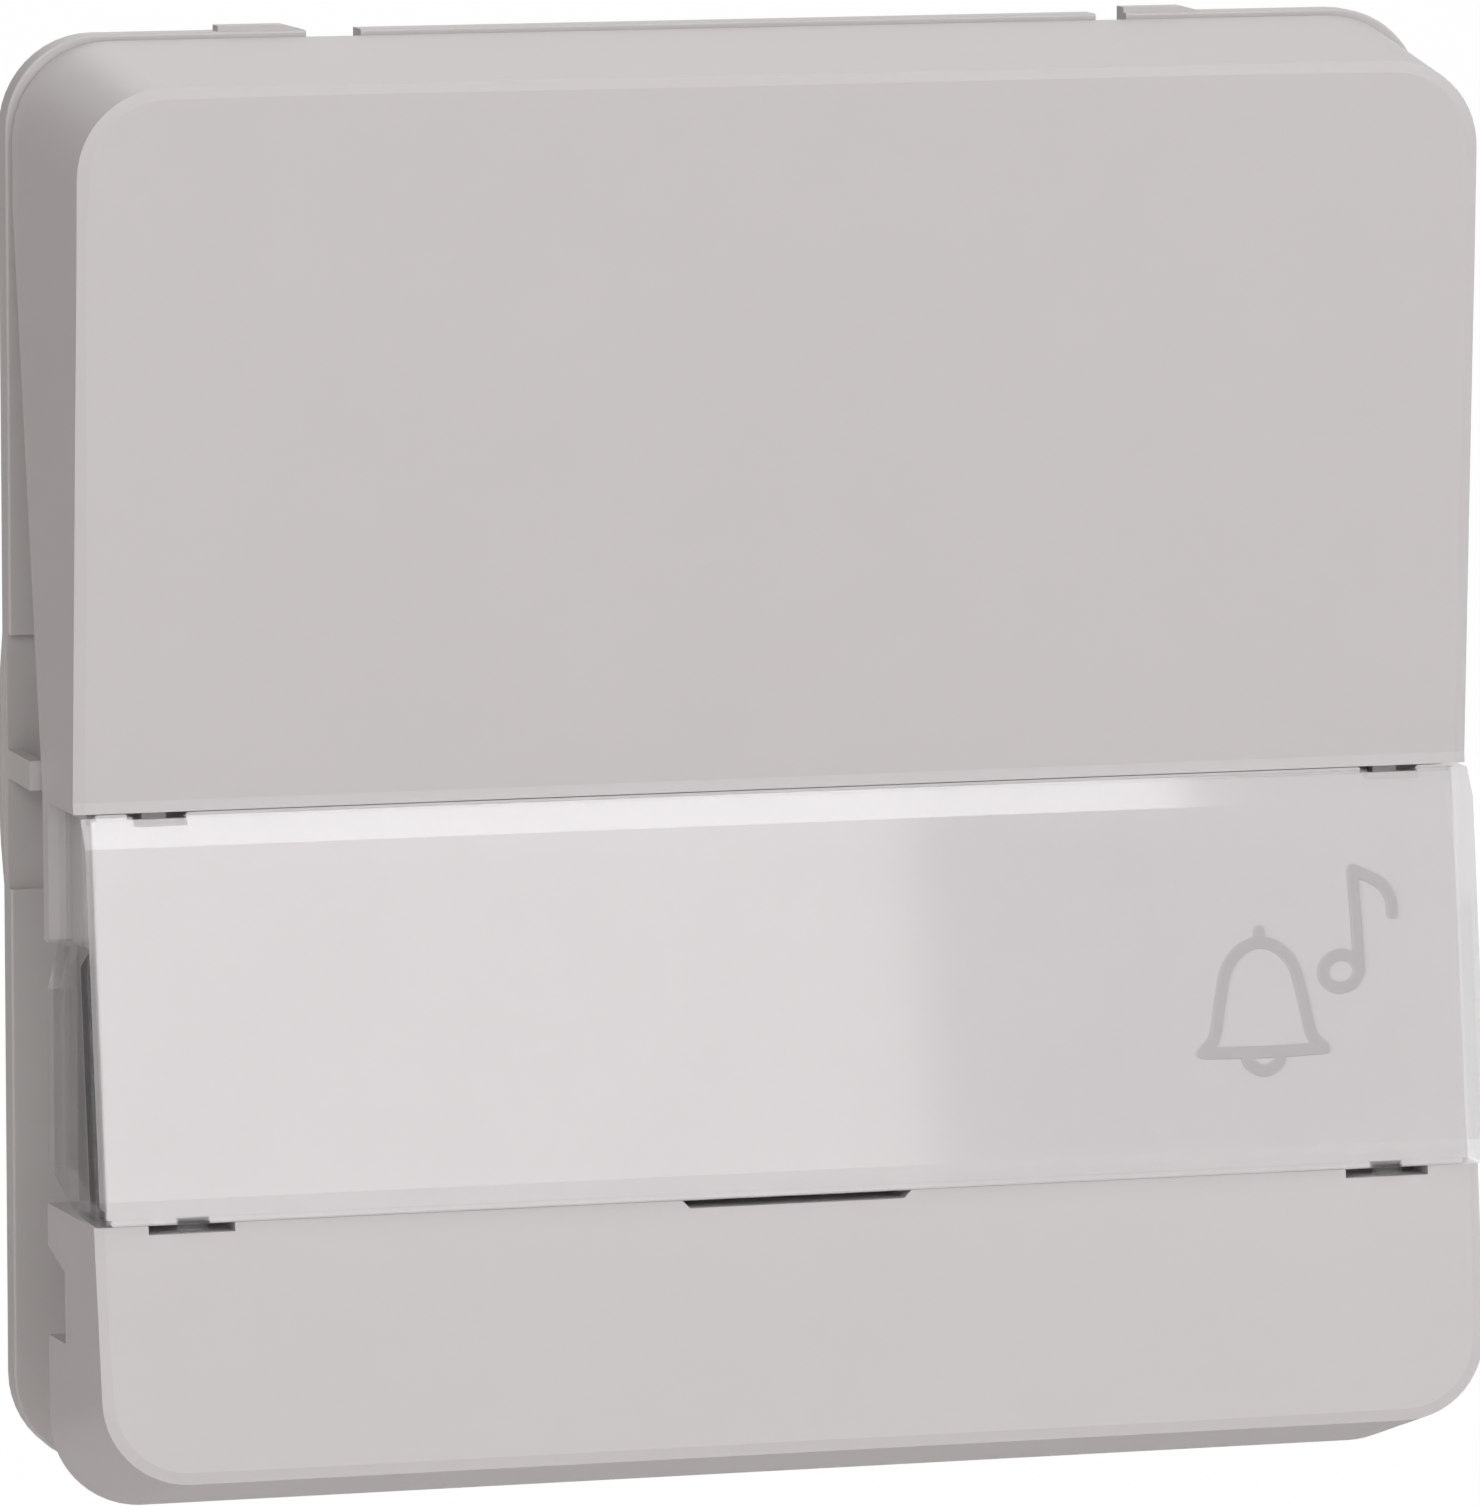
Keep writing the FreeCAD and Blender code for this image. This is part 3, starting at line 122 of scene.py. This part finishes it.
# Moulded plastics and rubbers: two close tints, a slightly uneven sheen in clouds, and a fine sparked grain.
# The clouds' size and the grain's size and depth are in mm.
mouldingSkin = dict(gloss=0.45, cloud=6, cloudDetail=4.0, grainDetail=5.0)
mouldings = {
    "white_plastic": dict(
        low=(204, 200, 201), high=(205, 201, 202), rough=(0.43, 0.45), grain=0.16, depth=0.0016),
    "frame_plastic": dict(
        low=(201, 198, 197), high=(203, 200, 199), rough=(0.46, 0.50), grain=0.20, depth=0.0030),
    "label_card": dict(
        low=(199, 195, 196), high=(201, 197, 198), rough=(0.50, 0.56), grain=0.10, depth=0.0),
    "backing_plastic": dict(
        low=(206, 203, 204), high=(210, 207, 208), rough=(0.36, 0.42), grain=0.25, depth=0.0010),
    "black_rubber": dict(
        low=(46, 43, 44), high=(52, 48, 49), rough=(0.55, 0.65), grain=0.30, depth=0.0040, gloss=0.03),
    "grey_rubber": dict(
        low=(92, 93, 95), high=(100, 101, 103), rough=(0.60, 0.70), grain=0.25, depth=0.0050),
    "housing_plastic": dict(
        low=(164, 165, 166), high=(170, 171, 172), rough=(0.46, 0.56), grain=0.22, depth=0.0050),
    "plunger_plastic": dict(
        low=(222, 222, 216), high=(228, 228, 222), rough=(0.30, 0.36), grain=0.30, depth=0.0010),
    "lever_plastic": dict(
        low=(224, 118, 42), high=(231, 126, 48), rough=(0.38, 0.46), grain=0.22, depth=0.0030),
}


def mouldedMaterial(name, grade):
    gloss = grade.get("gloss", mouldingSkin["gloss"])
    material, tree, shader = newSurface(name, {"Specular IOR Level": gloss})
    cloud = noiseOn(tree, mouldingSkin["cloud"] * mm, mouldingSkin["cloudDetail"])
    tintBetween(tree, shader, cloud, grade["low"], grade["high"])
    sheenBetween(tree, shader, cloud, grade["rough"])
    if grade["depth"]:
        grain = noiseOn(tree, grade["grain"] * mm, mouldingSkin["grainDetail"])
        grainBump(tree, shader, grain, grade["depth"] * mm)
    return material


# Metals: the drawn or rolled ones have fine lines along one axis, the silver and the screws an even grain.
# The lines' size and depth are in mm.
metalSkin = dict(line=0.12, detail=4.0, depth=0.0006)
metals = {
    "brass": dict(
        low=(214, 182, 112), high=(224, 194, 126), rough=(0.22, 0.34), stretch=(1, 0.06, 1)),
    "silver": dict(
        low=(226, 226, 224), high=(236, 236, 234), rough=(0.16, 0.26), stretch=(1, 1, 1)),
    "spring_steel": dict(
        low=(190, 191, 194), high=(204, 205, 208), rough=(0.24, 0.36), stretch=(1, 0.06, 1)),
    "screw_steel": dict(
        low=(196, 198, 202), high=(212, 213, 214), rough=(0.28, 0.40), stretch=(1, 1, 1)),
}


def metalMaterial(name, grade):
    material, tree, shader = newSurface(name, {"Metallic": 1.0})
    lines = noiseOn(tree, metalSkin["line"] * mm, metalSkin["detail"], grade["stretch"])
    tintBetween(tree, shader, lines, grade["low"], grade["high"])
    sheenBetween(tree, shader, lines, grade["rough"])
    grainBump(tree, shader, lines, metalSkin["depth"] * mm)
    return material


# Clear moulded plastic: a polished skin with the faintest flow marks (size in mm). It is so thin that only
# a part of the light is bent in it, and the coat gives back the gloss of the part that isn't.
clearSkin = dict(
    tint=(0.98, 0.98, 0.98),
    bentPart=0.3,
    bending=1.49,
    rough=(0.05, 0.07),
    coatBending=1.85,
    coatRough=0.04,
    flow=3,
    flowDetail=2.0,
    flowStretch=(0.3, 1, 1),
)


def clearMaterial(name):
    material, tree, shader = newSurface(name, {
        "Base Color": (*clearSkin["tint"], 1.0),
        "Transmission Weight": 1.0,
        "Alpha": clearSkin["bentPart"],
        "IOR": clearSkin["bending"],
        "Coat Weight": 1.0,
        "Coat Roughness": clearSkin["coatRough"],
        "Coat IOR": clearSkin["coatBending"],
    })
    flow = noiseOn(tree, clearSkin["flow"] * mm, clearSkin["flowDetail"], clearSkin["flowStretch"])
    sheenBetween(tree, shader, flow, clearSkin["rough"])
    return material


materials = {name: mouldedMaterial(name, grade) for name, grade in mouldings.items()}
materials.update({name: metalMaterial(name, grade) for name, grade in metals.items()})
materials["clear_plastic"] = clearMaterial("clear_plastic")
for part in frame["record"]["subparts"]:
    node = nodes[part["node"]]
    node.data.materials.clear()
    node.data.materials.append(materials[part["material_slot"]])
print("stage:", len(materials), "materials on the carried nodes")


def meshFromGrid(name, points, material):
    # points[i, j] is a grid whose rows close on themselves and whose first and last rows are poles:
    # vertex 0 is the first pole, the rings follow one after another, and the other pole comes last
    rows, turns = points.shape[:2]
    rings = points[1:-1].reshape(-1, 3)
    vertices = np.vstack([points[0, 0], rings, points[-1, 0]])
    last = len(vertices) - 1
    around = np.arange(turns)
    following = (around + 1) % turns
    ring = 1 + np.arange(rows - 3)[:, None] * turns
    bands = np.stack([ring + around, ring + following, ring + turns + following, ring + turns + around], -1)
    start = np.stack([np.zeros(turns, int), 1 + following, 1 + around], -1)
    end = np.stack([np.full(turns, last), last - turns + around, last - turns + following], -1)
    faces = bands.reshape(-1, 4).tolist() + start.tolist() + end.tolist()
    mesh = bpy.data.meshes.new(name)
    mesh.from_pydata(vertices.tolist(), [], faces)
    mesh.polygons.foreach_set("use_smooth", np.ones(len(mesh.polygons), bool))
    mesh.materials.append(material)
    mesh.update()
    piece = bpy.data.objects.new(name, mesh)
    scene.collection.objects.link(piece)
    return piece


def smoothLine(points, steps):
    # Catmull-Rom line: each point's tangent is half the step between its two neighbours
    points = np.array(points, float)
    padded = np.vstack([2 * points[0] - points[1], points, 2 * points[-1] - points[-2]])
    along = np.linspace(0, len(points) - 1 - 1e-9, steps)  # ends just short of the last point
    index = along.astype(int)
    t = (along - index)[:, None]
    a, b, c, d = (padded[index + k] for k in range(4))
    return 0.5 * (2 * b + (c - a) * t + (2 * a - 5 * b + 4 * c - d) * t**2 + (3 * b - 3 * c + d - a) * t**3)


# Strokes on the label's front plane, which leans back by the tilt (degrees): rows in each rounded end,
# and points around the stroke
strokeForm = dict(tilt=8.53, caps=8, turns=16)


def printedStroke(name, line, style, ink):
    # flat lens carried along a line: across the line it goes as a cosine, above the label as a sine,
    # and both shrink to nothing at the two ends along a quarter circle
    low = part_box("label_insert")[0]
    tilt = math.radians(strokeForm["tilt"])
    caps = strokeForm["caps"]
    half = style["width"] * mm / 2
    flat = smoothLine(line, style["steps"]) * mm
    path = np.column_stack([flat[:, 0], low.y + (flat[:, 1] - low.z) * math.tan(tilt), flat[:, 1]])
    tangent = np.gradient(path, axis=0)
    tangent /= np.linalg.norm(tangent, axis=1)[:, None]
    normal = np.array([0, -math.cos(tilt), math.sin(tilt)])
    across = np.cross(tangent, normal)
    bend = np.linspace(0, math.pi / 2, caps, endpoint=False)
    tail = path[0] - tangent[0] * half * np.cos(bend)[:, None]
    tip = path[-1] + tangent[-1] * half * np.cos(bend[::-1])[:, None]
    spine = np.vstack([tail, path, tip])
    side = np.vstack([np.repeat(across[:1], caps, 0), across, np.repeat(across[-1:], caps, 0)])
    share = np.concatenate([np.sin(bend), np.ones(len(path)), np.sin(bend[::-1])])[:, None]
    angle = np.linspace(0, 2 * math.pi, strokeForm["turns"], endpoint=False)
    sideways = (share * np.cos(angle))[..., None] * half
    upwards = (share * (np.sin(angle) * 0.5 + 0.5))[..., None] * style["rise"] * mm
    piece = meshFromGrid(name, spine[:, None] + side[:, None] * sideways + normal * upwards, ink)
    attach(piece, "key")


# Pictogram on the label: a bell and an eighth note, drawn in a pale printed line (mm, X and Z)
pictogram = dict(
    tone=(174, 170, 171),
    width=0.56,
    rise=0.015,
    steps=90,
    lines=dict(
        bell=[(19.15, -12.95), (19.75, -12.3), (20.05, -10.9), (20.45, -9.3), (21.15, -8.45), (22.05, -8.15),
              (22.95, -8.45), (23.65, -9.3), (24.05, -10.9), (24.35, -12.3), (24.95, -12.95)],
        rim=[(19.15, -12.95), (20.6, -13.0), (22.05, -13.02), (23.5, -13.0), (24.95, -12.95)],
        clapper=[(21.2, -13.05), (21.4, -13.55), (22.05, -13.85), (22.7, -13.55), (22.9, -13.05)],
        crown=[(22.05, -8.15), (22.05, -7.95), (22.05, -7.65)],
        stem=[(26.75, -9.6), (26.7, -8.0), (26.65, -6.5), (26.6, -5.1)],
        flag=[(26.6, -5.1), (27.2, -5.35), (27.9, -5.75), (28.35, -6.4), (28.4, -7.1)],
        head=[(26.75, -9.6), (26.35, -10.15), (25.6, -10.3), (25.05, -9.85), (25.15, -9.2), (25.8, -8.85),
              (26.45, -9.05), (26.75, -9.6)],
    ),
)


def addPictogram():
    # the ink is the card's own finish in one darker tone
    tone = pictogram["tone"]
    materials["print_ink"] = mouldedMaterial("print_ink", dict(mouldings["label_card"], low=tone, high=tone))
    for name, line in pictogram["lines"].items():
        printedStroke("print_" + name, line, pictogram, materials["print_ink"])


addPictogram()
print("stage: pictogram printed")

# Margin of the label's film (mm): it reaches past the card to the walls of the recess,
# clear of the hooks above and of the tongues below
filmMargin = dict(
    width=0.27,
    rise=0.012,
    steps=12,
    upper=[(-31.15, -29.95), (-27.05, 27.05), (29.95, 31.15)],
    lower=[(-31.15, -28.45), (-26.75, 26.75), (28.45, 31.15)],
)


def addFilmMargin():
    low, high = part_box("label_insert")
    half = filmMargin["width"] / 2
    for side, height in (("upper", high.z / mm + half), ("lower", low.z / mm - half)):
        for number, (start, end) in enumerate(filmMargin[side], 1):
            name = f"film_{side}_{number}"
            printedStroke(name, [(start, height), (end, height)], filmMargin, materials["label_card"])


addFilmMargin()
print("stage: label film")

# Camera: place and limits of sight in metres, direction in degrees, lens and sensor in mm
cameraView = dict(
    place=(-0.1539, -0.5417, 0.0740), yaw=15.97, pitch=7.51, lens=300.0, sensor=36, sight=(0.01, 20))


def addCamera():
    data = bpy.data.cameras.new("camera")
    data.lens = cameraView["lens"]
    data.sensor_width = cameraView["sensor"]
    data.clip_start, data.clip_end = cameraView["sight"]
    camera = bpy.data.objects.new("camera", data)
    yaw = math.radians(cameraView["yaw"])
    pitch = math.radians(cameraView["pitch"])
    aim = Vector((math.sin(yaw) * math.cos(pitch), math.cos(yaw) * math.cos(pitch), -math.sin(pitch)))
    camera.location = cameraView["place"]
    camera.rotation_euler = aim.to_track_quat("-Z", "Y").to_euler()
    scene.collection.objects.link(camera)
    scene.camera = camera


# Lamps: direction from the object, distance and size in metres, power in watts, and tint
lamps = dict(
    key=dict(
        towards=(0.503, -0.689, 0.524), distance=1.3, size=(0.8, 0.8), power=5.15, tint=(0.98, 0.99, 1.0)),
    above=dict(
        towards=(0.173, -0.485, 0.85), distance=1.2, size=(0.345, 0.40), power=2.6, tint=(0.96, 0.97, 1.0)),
    front=dict(
        towards=(0.187, -0.972, 0.14), distance=1.2, size=(0.25, 0.6), power=0.86, tint=(1.0, 0.98, 0.98)),
    left=dict(
        towards=(-0.58, -0.71, 0.42), distance=1.3, size=(0.8, 0.8), power=4.25, tint=(1.0, 1.0, 1.0)),
    rear=dict(
        towards=(0.15, 0.76, 0.63), distance=1.3, size=(0.6, 0.6), power=1.25, tint=(1.0, 1.0, 1.0)),
)


def addLamp(name, lamp):
    data = bpy.data.lights.new(name, "AREA")
    data.shape = "RECTANGLE"
    data.size, data.size_y = lamp["size"]
    data.energy = lamp["power"]
    data.color = lamp["tint"]
    towards = Vector(lamp["towards"]).normalized()
    item = bpy.data.objects.new(name, data)
    item.location = towards * lamp["distance"]
    item.rotation_euler = towards.to_track_quat("Z", "Y").to_euler()
    item.visible_camera = False
    scene.collection.objects.link(item)


# World: white where it is seen, in gloss or through glass too, and softer where it lights the object
worldLight = dict(seen=(1, 1, 1), ambient=(0.230, 0.211, 0.197))


def addWorld():
    world = bpy.data.worlds.new("studio")
    world.use_nodes = True
    tree = world.node_tree
    tree.nodes.clear()
    output = tree.nodes.new("ShaderNodeOutputWorld")
    path = tree.nodes.new("ShaderNodeLightPath")
    seen = path.outputs["Is Camera Ray"]
    for ray in ("Is Glossy Ray", "Is Transmission Ray"):
        larger = tree.nodes.new("ShaderNodeMath")
        larger.operation = "MAXIMUM"
        tree.links.new(seen, larger.inputs[0])
        tree.links.new(path.outputs[ray], larger.inputs[1])
        seen = larger.outputs[0]
    choice = tree.nodes.new("ShaderNodeMixShader")
    tree.links.new(seen, choice.inputs[0])
    for slot, use in ((1, "ambient"), (2, "seen")):
        light = tree.nodes.new("ShaderNodeBackground")
        light.inputs["Color"].default_value = (*worldLight[use], 1)
        tree.links.new(light.outputs[0], choice.inputs[slot])
    tree.links.new(choice.outputs[0], output.inputs[0])
    scene.world = world


# Floor: a plain pale sheet a hand's width below the object, which the camera sees nearly as pure light
floorSheet = dict(height=-0.11, half=2.0, tone=(238, 237, 237), rough=0.8, glow=0.99)


def addFloor():
    half = floorSheet["half"]
    corners = [(-half, -half), (half, -half), (half, half), (-half, half)]
    mesh = bpy.data.meshes.new("floor")
    mesh.from_pydata([(x, y, floorSheet["height"]) for x, y in corners], [], [(0, 1, 2, 3)])
    floor = bpy.data.objects.new("floor", mesh)
    material, tree, shader = newSurface("floor", {
        "Base Color": screenColour(floorSheet["tone"]),
        "Roughness": floorSheet["rough"],
    })
    path = tree.nodes.new("ShaderNodeLightPath")
    glow = tree.nodes.new("ShaderNodeEmission")
    part = tree.nodes.new("ShaderNodeMath")
    part.operation = "MULTIPLY"
    part.inputs[1].default_value = floorSheet["glow"]
    choice = tree.nodes.new("ShaderNodeMixShader")
    tree.links.new(path.outputs["Is Camera Ray"], part.inputs[0])
    tree.links.new(part.outputs[0], choice.inputs[0])
    tree.links.new(shader.outputs[0], choice.inputs[1])
    tree.links.new(glow.outputs[0], choice.inputs[2])
    tree.links.new(choice.outputs[0], tree.nodes["Material Output"].inputs[0])
    mesh.materials.append(material)
    scene.collection.objects.link(floor)


# Black card close behind the object at its left (metres): only gloss and glass see it, and it keeps
# the clear side wings from mirroring the white world and the floor
blackCard = dict(
    towards=(-0.30, 0.94, -0.12), distance=0.35, half=(0.11, 0.19), tone=(12, 12, 12), rough=0.9)


def addCard():
    towards = Vector(blackCard["towards"]).normalized()
    across = towards.cross(Vector((0, 0, 1))).normalized()
    upward = across.cross(towards)
    middle = towards * blackCard["distance"]
    wide, tall = blackCard["half"]
    turns = [(-1, -1), (1, -1), (1, 1), (-1, 1)]
    corners = [tuple(middle + across * wide * a + upward * tall * b) for a, b in turns]
    mesh = bpy.data.meshes.new("card")
    mesh.from_pydata(corners, [], [(0, 1, 2, 3)])
    mesh.materials.append(newSurface("card", {
        "Base Color": screenColour(blackCard["tone"]),
        "Roughness": blackCard["rough"],
    })[0])
    card = bpy.data.objects.new("card", mesh)
    card.visible_camera = False
    card.visible_diffuse = False
    card.visible_shadow = False
    scene.collection.objects.link(card)


addCamera()
addCard()
for name, lamp in lamps.items():
    addLamp(name, lamp)
addWorld()
addFloor()
scene.view_settings.view_transform = "Standard"
print("stage: camera, lamps and floor set")
